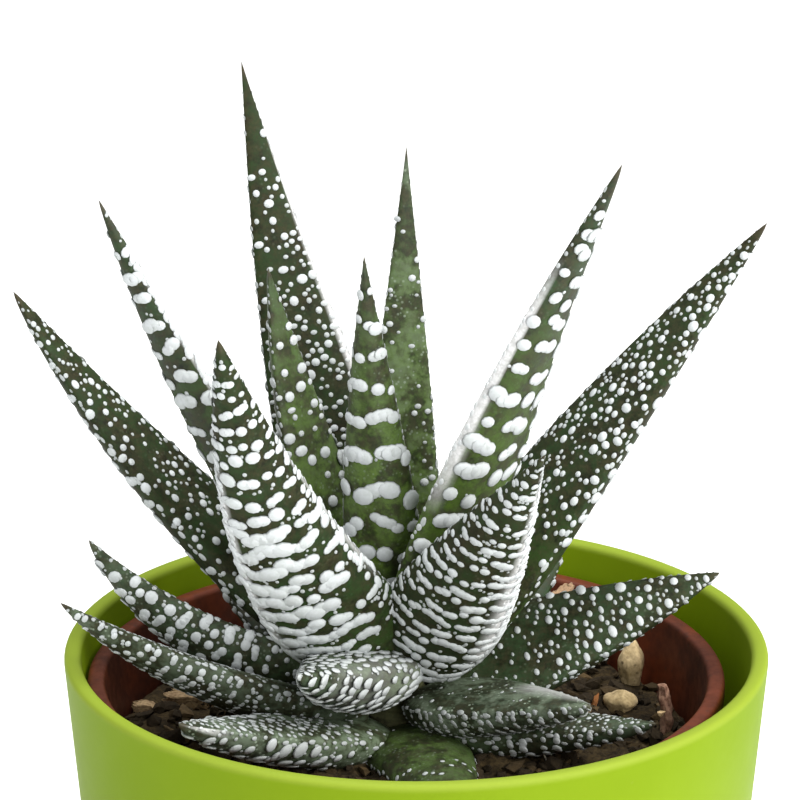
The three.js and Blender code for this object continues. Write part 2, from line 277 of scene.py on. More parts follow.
def turnedPiece(rings, sides):
    # a disc grown ring by ring: up the outside, over the lip and down to the inner floor
    selectOnly()
    radius, height = rings[0]
    bpy.ops.mesh.primitive_circle_add(
        vertices=sides, radius=radius * mm, fill_type="NGON", location=(0, 0, height * mm))
    piece = bpy.context.object
    bpy.ops.object.transform_apply(location=True, rotation=True, scale=True)
    bpy.ops.object.mode_set(mode="EDIT")
    bpy.ops.mesh.select_all(action="SELECT")
    for nextRadius, nextHeight in rings[1:]:
        bpy.ops.mesh.extrude_region_move(
            TRANSFORM_OT_translate={"value": (0, 0, (nextHeight - height) * mm)})
        share = nextRadius / radius
        bpy.ops.transform.resize(value=(share, share, 1), center_override=(0, 0, nextHeight * mm))
        radius, height = nextRadius, nextHeight
    bpy.ops.mesh.select_all(action="SELECT")
    bpy.ops.mesh.normals_make_consistent(inside=False)
    bpy.ops.object.mode_set(mode="OBJECT")
    return piece


def roundedCorner(corner, before, after, radius, steps=5):
    # points of a small arc that replaces a corner of an outline
    corner, before, after = (np.array(p, float) for p in (corner, before, after))
    start = corner + (before - corner) / np.linalg.norm(before - corner) * radius
    end = corner + (after - corner) / np.linalg.norm(after - corner) * radius
    share = np.linspace(0, 1, steps)[:, None]
    arc = (1 - share) ** 2 * start + 2 * share * (1 - share) * corner + share ** 2 * end
    return [tuple(p) for p in arc]


def vertexArray(mesh):
    places = np.empty(len(mesh.vertices) * 3, np.float32)
    mesh.vertices.foreach_get("co", places)
    return places.reshape(-1, 3).astype(float)


def setVertices(mesh, places):
    mesh.vertices.foreach_set("co", np.asarray(places, np.float32).ravel())
    mesh.update()


def movePiece(piece, step):
    setVertices(piece.data, vertexArray(piece.data) + np.array(step) * mm)


# the lip colour is painted light: a lighter green on the top lipDepth mm of the pot, standing in for light
# falling on the lip
cachepot = dict(
    height=62, baseRadius=29.5, rimRadius=35, wall=1.7, floor=2, edge=1.2, sides=128,
    green=(0.15, 0.23, 0.0006), deepGreen=(0.137, 0.212, 0.0005), lip=(0.19, 0.255, 0.02),
    lipDepth=0.9, lipRound=0.72, roughness=0.55, gloss=0.12)


def makeGreenPlastic():
    material, tree, shader, place = newMaterial("greenPlastic")
    cloud = addMottle(tree, place, 35.0, 900.0, 0.15)
    colour = mixColours(tree, cloud, cachepot["green"], cachepot["deepGreen"])
    colour = mixColours(tree, addSpecks(tree, place, 420.0, 0.1, 0.42, 0.25), colour, (0.2, 0.22, 0.04))
    parts = addNode(tree, "SeparateXYZ")
    tree.links.new(place, parts.inputs[0])
    top = cachepot["height"] * mm
    # painted highlight: the top lipDepth mm of the wall is mixed toward the lighter lip green, as light falling
    # on the lip
    paintedLightShare = ramp(tree, parts.outputs[2], top - cachepot["lipDepth"] * mm, top - 0.2 * mm)
    colour = mixColours(tree, paintedLightShare, colour, cachepot["lip"])
    rough = cachepot["roughness"]
    setSurface(tree, shader, colour, ramp(tree, cloud, 0, 1, rough, rough + 0.08), cachepot["gloss"])
    addGrain(tree, shader, place, 700.0, 0.12, 0.05)
    return material


def makeCachepot():
    spec = cachepot
    height, base, rim, wall, floor = (spec[k] for k in ("height", "baseRadius", "rimRadius", "wall", "floor"))
    outer = [(base, 0), (rim, height), (rim - wall, height), (base - wall, floor), (0.4, floor)]
    rings = [(base - 3, 0)]
    rings += roundedCorner(outer[0], (base - 3, 0), outer[1], spec["edge"])
    rings += [(base + (rim - base) * share, height * share) for share in (0.2, 0.4, 0.6, 0.8)]
    rings += roundedCorner(outer[1], outer[0], outer[2], spec["lipRound"], 6)
    rings += roundedCorner(outer[2], outer[1], outer[3], spec["lipRound"], 6)
    for share in (0.25, 0.5, 0.75):
        rings.append((rim - wall - (rim - base) * share, height - (height - floor) * share))
    rings += roundedCorner(outer[3], outer[2], (0, floor), 1.5)
    piece = turnedPiece(rings, spec["sides"])
    smoothPiece(piece)
    finishPiece(piece, "cachepot", makeGreenPlastic(), "outer_pot")


makeCachepot()
print("cachepot made")


growPot = dict(
    x=-1, foot=2.3, footRadius=24.4, top=59.2, wallTopRadius=30.9, rimRadius=31.7, wall=0.9,
    floor=1.2, lipDepth=1.9, sides=112, drainRadius=2.6, drainCircle=15,
    drains=4, brown=(0.12, 0.025, 0.008), dark=(0.045, 0.011, 0.005), gloss=0.22)


def growPotOutside(height):
    share = (height - growPot["foot"]) / (growPot["top"] - growPot["foot"])
    return growPot["footRadius"] + (growPot["wallTopRadius"] - growPot["footRadius"]) * share


def makeBrownPlastic():
    material, tree, shader, place = newMaterial("brownPlastic")
    cloud = addMottle(tree, place, 90.0, 800.0, 0.4)
    colour = mixColours(tree, cloud, growPot["brown"], growPot["dark"])
    colour = mixColours(tree, addSpecks(tree, place, 800.0, 0.2, 0.5, 0.6), colour, (0.03, 0.02, 0.014))
    setSurface(tree, shader, colour, ramp(tree, cloud, 0, 1, 0.45, 0.65), growPot["gloss"])
    addGrain(tree, shader, place, 900.0, 0.2, 0.08)
    return material


def makeGrowPot():
    spec = growPot
    foot, top, rim, wall = spec["foot"], spec["top"], spec["rimRadius"], spec["wall"]
    lipBottom, inFloor = top - spec["lipDepth"], foot + spec["floor"]
    inside = lambda height: growPotOutside(height) - wall
    rings = [(growPotOutside(foot) - 1, foot), (growPotOutside(foot), foot + 0.6)]
    rings += [(growPotOutside(h), h) for h in (15, 30, 45, lipBottom - 0.6)]
    rings += [(growPotOutside(lipBottom) + 0.25, lipBottom - 0.1), (rim - 0.3, lipBottom)]
    rings += roundedCorner((rim, lipBottom), (rim - 1, lipBottom), (rim, top), 0.3, 3)
    rings += roundedCorner((rim, top), (rim, lipBottom), (inside(top), top), 0.6)
    rings += roundedCorner((inside(top), top), (rim, top), (inside(top - 5), top - 5), 0.5)
    rings += [(inside(h), h) for h in (50, 40, 25, 12)]
    rings += [(inside(inFloor + 1), inFloor + 1), (inside(inFloor) - 0.9, inFloor)]
    pot = turnedPiece(rings, spec["sides"])
    movePiece(pot, (spec["x"], 0, 0))
    holes = []
    for i in range(spec["drains"]):
        angle = math.radians(45 + 360 / spec["drains"] * i)
        selectOnly()
        bpy.ops.mesh.primitive_cylinder_add(
            vertices=20, radius=spec["drainRadius"] * mm, depth=4 * spec["floor"] * mm,
            location=((spec["x"] + spec["drainCircle"] * math.cos(angle)) * mm,
                      spec["drainCircle"] * math.sin(angle) * mm, foot * mm))
        holes.append(bpy.context.object)
    cutter = joinPieces(holes)
    drill = pot.modifiers.new("drainHoles", "BOOLEAN")
    drill.operation = "DIFFERENCE"
    drill.solver = "EXACT"
    drill.object = cutter
    applyModifiers(pot)
    bpy.data.objects.remove(cutter)
    smoothPiece(pot)
    finishPiece(pot, "growPot", makeBrownPlastic(), "nursery_pot")


makeGrowPot()
print("grow pot made")


# litter: loose bits among the crumbs, as (place, height over the soil, size, turn, colour)
soil = dict(
    edgeHeight=51.8, crownHeight=54, crownRadius=8, lump=0.35, bottom=3.8, edgeGap=0.3,
    sides=144, rough=((0.55, 0.55), (0.4, 1.3), (0.2, 3)), gloss=0.2, seed=4,
    crumbs=1400, crumbReach=28.4, crumbSizes=(0.3, 0.35, 0.45, 0.6, 0.9), crumbShapes=5,
    dark=(0.009, 0.006, 0.003), brown=(0.062, 0.042, 0.017), pale=(0.2, 0.15, 0.08),
    tints=((0.02, 0.014, 0.008), (0.05, 0.033, 0.015), (0.09, 0.058, 0.024), (0.16, 0.11, 0.055)),
    litter=[
        ((18.2, 7.2), 0.5, (0.35, 0.25, 1.1), 20, (0.42, 0.17, 0.06)),
        ((15.6, -6.6), 0.3, (0.7, 0.4, 0.35), 40, (0.4, 0.24, 0.1)),
        ((12.8, -8.2), 0.6, (0.09, 0.09, 1.0), -25, (0.55, 0.5, 0.42)),
        ((24.4, -0.4), 2.6, (0.42, 0.4, 0.4), 0, (0.66, 0.48, 0.26)),
        ((9.5, -19.6), 0.4, (0.5, 0.35, 0.3), 70, (0.3, 0.2, 0.12)),
        ((-24.8, 1.2), 0.3, (0.8, 0.3, 0.3), 30, (0.24, 0.17, 0.09)),
    ])


def soilTop(x, y):
    # height of the mound in mm, as in the part's own soil
    radius = math.hypot(x - rosetteX, y)
    mound = math.exp(-((radius / (2 * soil["crownRadius"])) ** 2))
    fine = math.sin(x * 0.9 + 1.3 * math.sin(y * 0.5)) * math.cos(y * 0.8 + 0.7)
    lumps = fine + 0.6 * math.sin(x * 0.35 - y * 0.6)
    return soil["edgeHeight"] + (soil["crownHeight"] - soil["edgeHeight"]) * mound + soil["lump"] * lumps


def makeSoilFinish():
    material, tree, shader, place = newMaterial("pottingSoil")
    cloud = addMottle(tree, place, 420.0, 2600.0, 0.5)
    colour = mixColours(tree, cloud, soil["dark"], soil["brown"])
    colour = mixColours(tree, addSpecks(tree, place, 650.0, 0.22, 0.46, 0.55), colour, soil["pale"])
    own = addNode(tree, "Attribute", attribute_name="bitTint")
    share = calc(tree, "MULTIPLY", own.outputs["Alpha"], ramp(tree, cloud, 0, 1, 0.55, 0.95))
    colour = mixColours(tree, share, colour, own.outputs["Color"])
    setSurface(tree, shader, colour, 0.93, soil["gloss"])
    addGrain(tree, shader, place, 1500.0, 0.8, 0.25)
    return material


def takeShape(piece):
    # the corners and faces of what is modelled once and then copied
    places, faces = vertexArray(piece.data), [tuple(face.vertices) for face in piece.data.polygons]
    bpy.data.objects.remove(piece)
    return places, faces


def makeLump(seed, uneven):
    selectOnly()
    bpy.ops.mesh.primitive_ico_sphere_add(subdivisions=1, radius=1)
    places, faces = takeShape(bpy.context.object)
    for i, p in enumerate(places):
        places[i] = p * (1 + uneven * noise.noise(Vector(p) * 1.3 + Vector((seed * 7.1, 0, 0))))
    return places, faces


def copiesMesh(name, shapes, copies):
    # one mesh of many copies: (shape index, 3x3 matrix, place)
    places, faces, count = [], [], 0
    for index, turn, place in copies:
        shapePlaces, shapeFaces = shapes[index]
        places.append(shapePlaces @ turn.T + place)
        faces += [tuple(v + count for v in face) for face in shapeFaces]
        count += len(shapePlaces)
    mesh = bpy.data.meshes.new(name)
    mesh.from_pydata(np.concatenate(places), [], faces)
    mesh.update()
    piece = bpy.data.objects.new(name, mesh)
    bpy.context.scene.collection.objects.link(piece)
    return piece


def turnAndSize(degrees, axis, sizes):
    return np.array(Matrix.Rotation(math.radians(degrees), 3, axis)) @ np.diag(sizes)


def anyTurn(rng, sizes):
    turn = Matrix.Rotation(rng.uniform(0, 6.28), 3, "Z") @ Matrix.Rotation(rng.uniform(-0.9, 0.9), 3, "X")
    return np.array(turn) @ np.diag(sizes)


def addColours(mesh, name, colours):
    attribute = mesh.attributes.new(name, "FLOAT_COLOR", "POINT")
    attribute.data.foreach_set("color", np.asarray(colours, np.float32).ravel())


def makeSoil():
    spec = soil
    bottom, edge = spec["bottom"], spec["edgeHeight"]
    inside = lambda height: growPotOutside(height) - growPot["wall"] - spec["edgeGap"]
    rings = [(inside(bottom) - 1, bottom), (inside(bottom + 1), bottom + 1), (inside(28), 28),
             (inside(edge - 1.2), edge - 1.2), (inside(edge) - 0.1, edge - 0.3)]
    rings += [(inside(edge) - 0.8 - 27.8 * share, edge) for share in np.linspace(0, 1, 30)]
    bed = turnedPiece(rings, spec["sides"])
    movePiece(bed, (growPot["x"], 0, 0))
    places = vertexArray(bed.data) / mm
    for p in places:
        if p[2] > edge - 0.5:
            point = Vector((p[0], p[1], 0))
            rough = sum(height * noise.noise(point * scale) for height, scale in spec["rough"])
            p[2] += soilTop(p[0], p[1]) - edge + rough
    setVertices(bed.data, places * mm)
    addColours(bed.data, "bitTint", np.zeros((len(places), 4)))
    rng = random.Random(spec["seed"])
    lumps = [makeLump(seed, 0.55) for seed in range(spec["crumbShapes"])]
    copies, tints = [], []
    for _ in range(spec["crumbs"]):
        radius, angle = spec["crumbReach"] * math.sqrt(rng.uniform(0.05, 1)), rng.uniform(0, 2 * math.pi)
        x, y = growPot["x"] + radius * math.cos(angle), radius * math.sin(angle)
        size = rng.choice(spec["crumbSizes"]) * rng.uniform(0.8, 1.25)
        turn = anyTurn(rng, (size * rng.uniform(0.9, 1.7), size, size * rng.uniform(0.6, 0.9)))
        middle = np.array((x, y, soilTop(x, y) + 0.25 * size)) * mm
        copies.append((rng.randrange(len(lumps)), turn * mm, middle))
        tints.append((*spec["tints"][min(int(rng.expovariate(1.1)), 3)], 0.8))
    for (x, y), over, sizes, turn, colour in spec["litter"]:
        middle = np.array((x, y, soilTop(x, y) + over)) * mm
        copies.append((rng.randrange(len(lumps)), turnAndSize(turn, "Y", sizes) * mm, middle))
        tints.append((*colour, 1))
    crumbs = copiesMesh("crumbs", lumps, copies)
    addColours(crumbs.data, "bitTint", np.repeat(tints, len(lumps[0][0]), axis=0))
    piece = joinPieces([bed, crumbs])
    smoothPiece(piece, 30)
    finishPiece(piece, "pottingSoil", makeSoilFinish(), "soil")


makeSoil()
print("soil made")


# A leaf's form: heading 0 points along +X and 90 along +Y, and changes by bend up to the tip. rise is at
# mid-length, and curl is the rise gained from root to tip. slim is how much the tip narrows, and past 1 the
# middle too. reach and root are the root's distance from the rosette's middle and its height.
# Rows on the outer face: pitch and bar are the distance between rows and their thickness, at the root, the
# middle and the tip. run: length of a bar, in times its thickness. gap: space between bars. extra: small
# tubercles between the rows. stretch: how long they are. merge: the margin at which the bars run together.
# tipFrom: where the rows turn into single tubercles. clear: free strip beside one margin. uneven: how far bars
# leave their row. bow: mm by which a row arches up at its middle. tilt: mm by which it drops at one margin.
# calm: how far up from the root all tubercles stay small and few. bare: share of the tip without any.
# Inner face: dots and dot are the tubercles per square mm and their sizes, larger towards the heavy side.
# spread: under 1 moves them to the margins. thin: how much they thin out towards the tip.
# Colour: fresh is how green the root is, and how far up. brown: dried tint. haze: fine pale grain.
# pale: whitish bands (side, from, to, width, strength). chain: the sides whose band is set with tubercles.
leafUsual = dict(
    bend=0, twist=0, reach=3,
    run=(1, 2), gap=(0.3, 0.75), extra=0.5, stretch=1, merge=0, tipFrom=0.68, clear=0, uneven=1, bow=0, tilt=0,
    calm=0.01, bare=0.05, heavy=0, spread=1, thin=0, chain=(),
    brown=0, haze=0, pale=())
# the short leaves at the back
backLooks = dict(
    pitch=(2.4, 2.2, 2.1), bar=(0.9, 1.1, 0.8), run=(1, 4), dots=0.6, dot=(0.4, 0.9), fresh=(0.1, 0.3))
leafShapes = {
    "leaf_01": dict(
        heading=-110, rise=79.7, curl=6, twist=10, length=43.9,
        width=8.8, thick=3.4, reach=1, root=62, slim=1.2,
        pitch=(4, 3.9, 3), bar=(1.6, 1.7, 1), run=(1.8, 2.8), gap=(0.2, 0.4),
        extra=0.25, uneven=0.6, bow=3, bare=0.03, dots=0.1, dot=(0.6, 1.2),
        fresh=(1, 0.95), haze=0.25),
    "leaf_02": dict(
        heading=82, rise=82.7, curl=4, twist=15, length=50, width=9.6, thick=3.2, reach=1, root=62, slim=2.4,
        pitch=(4.5, 4.2, 4), bar=(1.2, 1, 0.8), bare=0.12, dots=0.3, dot=(0.45, 1.1), spread=0.5, thin=0.7,
        fresh=(1, 0.95), haze=0.75),
    "leaf_03": dict(
        heading=126, rise=65, curl=15, twist=-20, length=60.3,
        width=15.2, thick=4.2, reach=1, root=62, slim=2.7,
        pitch=(3.2, 3.1, 3), bar=(1.2, 1.1, 0.8), run=(1, 3), bare=0.1, dots=0.68, dot=(0.5, 1.25), thin=1.06,
        fresh=(0.1, 0.9), brown=0.25, pale=((-1, 0.35, 0.9, 0.18, 1),)),
    "leaf_04": dict(
        heading=160, rise=73.8, curl=12, twist=-30, length=40.7,
        width=9, thick=3.8, reach=2, root=61, slim=0.7,
        pitch=(3.4, 3.2, 3), bar=(1.4, 1.3, 1), bare=0.08, dots=0.32, dot=(0.7, 1.7), spread=0.6,
        fresh=(0.9, 1), haze=0.25),
    "leaf_05": dict(
        heading=-44, rise=66.2, curl=-11, bend=14, length=60.6,
        width=15, thick=4.4, reach=2, root=61, slim=0.85,
        pitch=(3.2, 2.9, 2.4), bar=(1.3, 1.75, 1.4), run=(1.2, 2.2), extra=0.35,
        tipFrom=1, clear=1.2, uneven=0.5, tilt=2.4, bare=0.08, dots=0.25, dot=(0.4, 0.9),
        fresh=(0.7, 0.75), pale=((-1, 0.34, 0.82, 0.07, 1), (1, 0.3, 0.7, 0.03, 0.8))),
    "leaf_06": dict(
        heading=118, rise=62, curl=8, length=38, width=9.5, thick=4, reach=2.5, root=59, slim=0.5,
        pitch=(3, 2.8, 2.6), bar=(1.1, 1.3, 0.9), run=(1, 3), bare=0.08, dots=0.3, dot=(0.5, 1),
        fresh=(0.5, 0.5)),
    "leaf_07": dict(
        heading=-172, rise=62.1, curl=9, twist=45, length=56.1,
        width=9.6, thick=3.6, reach=2.5, root=60, slim=0.8,
        pitch=(3.2, 3, 2.3), bar=(1.3, 1.65, 1.15), run=(1.3, 2.4), extra=1.1,
        merge=1, tipFrom=0.9, uneven=0.7, dots=0.3, dot=(0.4, 0.9), chain=(1,),
        fresh=(0.35, 0.7), pale=((1, 0.25, 0.9, 0.12, 1), (-1, 0.15, 0.6, 0.08, 0.9))),
    "leaf_08": dict(
        heading=16, rise=50.5, curl=-7.5, twist=22, length=55.5, width=13, thick=5.4, root=60, slim=0.7,
        pitch=(2.6, 2.7, 2.5), bar=(0.9, 1.2, 0.8), run=(1, 2.5),
        stretch=1.25, calm=0.55, dots=0.7, dot=(0.36, 0.92), heavy=-1,
        fresh=(0.5, 0.5), brown=0.2),
    "leaf_09": dict(
        heading=-126, rise=57.6, curl=36, twist=38, length=48.7,
        width=14.2, thick=5, reach=2.2, root=61, slim=0.4,
        pitch=(1.9, 2.25, 1.35), bar=(1.15, 1.85, 0.68), run=(1.5, 3), gap=(0.1, 0.4), extra=1.6,
        merge=-1, tipFrom=0.6, calm=0.85, bare=0.04, dots=0.9, dot=(0.45, 1), chain=(-1, 1),
        fresh=(0.35, 0.5), brown=0.15, pale=((-1, 0.12, 0.75, 0.16, 1), (1, 0.3, 0.75, 0.03, 0.5))),
    "leaf_10": dict(
        heading=-60, rise=50.2, curl=0, twist=-38, length=37.8,
        width=13.4, thick=5, reach=3.5, root=61.6, slim=1.5,
        pitch=(1.75, 1.7, 1.4), bar=(1, 1.15, 0.9), run=(1, 3.5), gap=(0.1, 0.4),
        extra=1.8, merge=1, bare=0.02, dots=0.5, dot=(0.4, 0.8), chain=(1,),
        fresh=(0.15, 0.35), brown=0.35, pale=((1, 0.12, 0.95, 0.26, 1),)),
    "leaf_11": dict(
        heading=170, rise=45.7, curl=18, twist=-20, length=50.8, width=11.4, thick=4.8, root=60.7, slim=0.5,
        pitch=(2.1, 2.2, 2), bar=(0.8, 1, 0.7), run=(1, 2.5),
        stretch=1.2, calm=0.45, dots=0.56, dot=(0.34, 0.87), heavy=1,
        fresh=(0.15, 0.4), brown=0.2),
    "leaf_12": dict(
        backLooks, heading=66, rise=42, curl=8, twist=6, length=24,
        width=9.5, thick=4.2, reach=2.5, root=59, slim=0.5,
        pitch=(2.8, 2.6, 2.4), bar=(1, 1.3, 0.9), bare=0.06, dots=0.5,
        fresh=(0.4, 0.3)),
    "leaf_13": dict(
        backLooks, heading=94, rise=52, curl=15, twist=-6, length=30, width=11, thick=4.6, root=58, slim=0.5,
        pitch=(2.8, 2.6, 2.4), bar=(1, 1.3, 0.9), run=(2, 5), dots=0.5,
        fresh=(0.3, 0.3)),
    "leaf_14": dict(
        heading=-114, rise=13.6, curl=10, length=20.4, width=13.2, thick=7.4, root=62.4, slim=2.4,
        pitch=(1.7, 1.6, 1.4), bar=(1.1, 1.15, 0.9), run=(1, 1.3),
        gap=(0, 0.12), extra=0, stretch=1.9, bare=0, dots=1.2, dot=(0.7, 1.2),
        fresh=(0.6, 0.7), haze=0.7, pale=((1, 0, 0.8, 0.6, 0.15),)),
    "leaf_15": dict(
        heading=8, rise=19.4, curl=0, twist=28, length=31.6, width=13.5, thick=5.4, root=57.5, slim=0.6,
        pitch=(1.7, 1.9, 1.9), bar=(0.6, 0.9, 0.8), run=(1, 2.5),
        stretch=0.75, calm=0.65, bare=0.03, dots=1, dot=(0.62, 1.5), heavy=1,
        fresh=(0.08, 0.4), brown=0.15, haze=0.12),
    "leaf_16": dict(
        heading=178, rise=28.4, curl=46, twist=45, length=32.1, width=12, thick=5, root=58, slim=0.8,
        pitch=(1.3, 1.7, 1.6), bar=(0.65, 1.05, 1.1), run=(1, 2.6),
        extra=1.8, calm=0.4, bare=0.03, dots=0.85, dot=(0.35, 0.9),
        fresh=(0.15, 0.4), haze=0.3),
    "leaf_17": dict(
        backLooks, heading=46, rise=20, curl=15, twist=8, length=23, width=11, thick=4.6, root=57, slim=0.5,
        pitch=(2.5, 2.3, 2.2),
        fresh=(0.2, 0.3)),
    "leaf_18": dict(
        backLooks, heading=142, rise=26, curl=15, twist=-8, length=27, width=11, thick=4.6, root=57, slim=0.5,
        pitch=(2.5, 2.3, 2.2),
        fresh=(0.2, 0.3)),
    "leaf_19": dict(
        heading=-36, rise=10.2, curl=0, length=20.7, width=12, thick=5.4, root=57.5, slim=0.2,
        pitch=(1.3, 1.2, 1.1), bar=(0.4, 0.6, 0.7), extra=0.8, bare=0, dots=0.15, dot=(0.25, 0.55),
        fresh=(0.1, 0.5), haze=1.6, pale=((1, 0.5, 1, 0.8, 0.55),)),
    "leaf_20": dict(
        heading=-166, rise=24.9, curl=22, twist=20, length=34.1, width=13.5, thick=4.8, root=55.5, slim=1,
        pitch=(1.2, 1.3, 1.6), bar=(0.5, 0.7, 0.7), extra=1.6, calm=0.6, dots=1, dot=(0.3, 0.7),
        fresh=(0.1, 0.4), brown=0.35, haze=0.8),
    "leaf_21": dict(
        heading=-74, rise=4, curl=0, twist=180, length=21, width=12, thick=3.6, root=52.8, slim=0,
        pitch=(12, 9, 3), bar=(0.35, 0.45, 0.75), run=(1, 1), extra=0, bare=0, dots=0.02, dot=(0.3, 0.6),
        fresh=(0.6, 1.2), haze=0.3),
    "leaf_22": dict(
        backLooks, heading=84, rise=15, curl=10, twist=5, length=25, width=11, thick=4.6, root=55, slim=0.4),
    "leaf_23": dict(
        heading=-134, rise=17.2, curl=8, length=28.1, width=12, thick=5.4, root=54.2, slim=0.3,
        pitch=(1.6, 1.7, 1.5), bar=(1.1, 1.5, 1.15), extra=1.2,
        calm=0.55, bare=0.02, dots=0.9, dot=(0.5, 1.15),
        fresh=(0.25, 0.7), haze=1.6, pale=((-1, 0.8, 1, 0.08, 0.9), (1, 0.8, 1, 0.08, 0.9))),
    "leaf_24": dict(
        backLooks, heading=114, rise=11, curl=8, twist=-5,
        length=24.5, width=10.5, thick=4.6, root=54.5, slim=0.4),
    "leaf_25": dict(
        backLooks, heading=34, rise=10, curl=8, twist=4, length=20, width=10.5, thick=4.6, root=54.5, slim=0.4),
    "leaf_26": dict(
        heading=-24, rise=9, curl=5, length=25.2, width=10, thick=4.8, root=54.4, slim=0.4,
        pitch=(1.6, 1.6, 1.4), bar=(0.6, 0.85, 0.7), run=(1, 2.2),
        extra=1, calm=0.5, bare=0.02, dots=1, dot=(0.3, 0.8),
        fresh=(0.2, 0.5), haze=0.5),
}
# firstRow: where the rows start, in leaf lengths. loneShare: share of bars cut to one tubercle. rowShift: how
# far bars leave their row, in pitches. extraEvery: mm of row for each small tubercle. calmLeast: size of the
# calmest. dotBias: how rare large dots are. dotSpace: room round a dot. chainPitch: mm between tubercles that
# are set on a band.
leafBuild = dict(
    sides=24, rings=40, innerDepth=0.22, outerDepth=0.78, beadSides=10, beadRings=4, beadFlat=0.13,
    firstRow=0.05, loneShare=0.25, rowShift=0.16, extraEvery=2.2, calmLeast=0.4,
    areaShare=0.6, dotBias=1.9, dotSpace=0.58, marginBead=0.5, marginPitch=1.1, chainPitch=0.26,
    gloss=0.2, dullGloss=0.07)
leafColours = dict(
    dark=(0.005, 0.006, 0.0035), olive=(0.036, 0.033, 0.016), green=(0.02, 0.046, 0.014),
    fresh=(0.09, 0.155, 0.012), pale=(0.6, 0.6, 0.6), tubercle=(0.53, 0.555, 0.57),
    shade=(0.23, 0.28, 0.21), dried=(0.05, 0.04, 0.025), brown=(0.024, 0.019, 0.012))


def swell(leaf, s):
    # share of the full width, from 0 at the root to 1 at the tip
    foot = 0.62 + 0.38 * np.sin(np.minimum(s / 0.3, 1) * np.pi / 2)
    fall = 2 - 0.4 * abs(1 - leaf["slim"])
    return foot * np.maximum(1 - s ** fall, 0) ** (0.8 + 0.3 * min(leaf["slim"], 1))


def leafAxes(leaf, s):
    turn = np.radians(leaf["heading"] + leaf["bend"] * s)
    climb = np.radians(leaf["rise"] + leaf["curl"] * (s - 0.5))
    roll = math.radians(leaf["twist"])
    along = np.stack([np.cos(climb) * np.cos(turn), np.cos(climb) * np.sin(turn), np.sin(climb)], -1)
    level = np.stack([-np.sin(turn), np.cos(turn), np.zeros_like(turn)], -1)
    across = level * math.cos(roll) + np.cross(along, level) * math.sin(roll)
    return along, across, np.cross(along, across)


def midline(leaf):
    steps = np.linspace(0, 1, 241)
    along = leafAxes(leaf, (steps[1:] + steps[:-1]) / 2)[0]
    turn = math.radians(leaf["heading"])
    root = np.array((rosetteX + leaf["reach"] * math.cos(turn), leaf["reach"] * math.sin(turn), leaf["root"]))
    line = np.vstack([root, root + np.cumsum(along * leaf["length"] / 240, axis=0)])
    return steps, line


def onLeaf(leaf, line, s, q):
    # point and outward direction of the leaf's skin at s along it and angle q round it, in mm
    _, across, inward = leafAxes(leaf, s)
    middle = np.stack([np.interp(s, line[0], line[1][:, k]) for k in range(3)], -1)
    halfWidth = leaf["width"] / 2 * swell(leaf, s)
    share = np.where(np.sin(q) > 0, leafBuild["innerDepth"], leafBuild["outerDepth"])
    halfDepth = leaf["thick"] * swell(leaf, s) ** 0.7 * share
    outward = across * (np.cos(q) * halfDepth)[..., None] + inward * (np.sin(q) * halfWidth)[..., None]
    outward /= np.maximum(np.linalg.norm(outward, axis=-1, keepdims=True), 1e-9)
    point = middle + across * (np.cos(q) * halfWidth)[..., None] + inward * (np.sin(q) * halfDepth)[..., None]
    return point, outward


def makeBead():
    # one tubercle, modelled once: a low bump with steep sides
    selectOnly()
    bpy.ops.mesh.primitive_uv_sphere_add(
        segments=leafBuild["beadSides"], ring_count=leafBuild["beadRings"], radius=1)
    places, faces = takeShape(bpy.context.object)
    upper = (places[:, 2] > 0.1) & (places[:, 2] < 0.9)
    places[upper] *= (1.2, 1.2, 1.1)
    return places, faces


bead = makeBead()


def arcOf(leaf, s):
    # angles over the outer face, and the length of skin up to each
    q = np.linspace(math.pi, 2 * math.pi, 61)
    share = float(swell(leaf, s))
    x = np.cos(q) * leaf["width"] / 2 * share
    y = np.sin(q) * leaf["thick"] * share ** 0.7 * leafBuild["outerDepth"]
    arc = np.concatenate([[0], np.cumsum(np.hypot(np.diff(x), np.diff(y)))])
    return q, arc


def flatBead(at, angle, across, along, slope=0.0):
    # a tubercle on a leaf: mm along it, angle round it, width, length, height and slope
    return at, angle, across, along, leafBuild["beadFlat"] * min(across, along) ** 0.8, slope


def calmShare(leaf, s, x):
    # under 1 near the root, but not on the side where the bars run together
    part = max(-leaf["merge"] * x, 0.01) if leaf["merge"] else 1
    return min(s / (leaf["calm"] * part), 1)


def calmSize(calm):
    return leafBuild["calmLeast"] + (1 - leafBuild["calmLeast"]) * calm


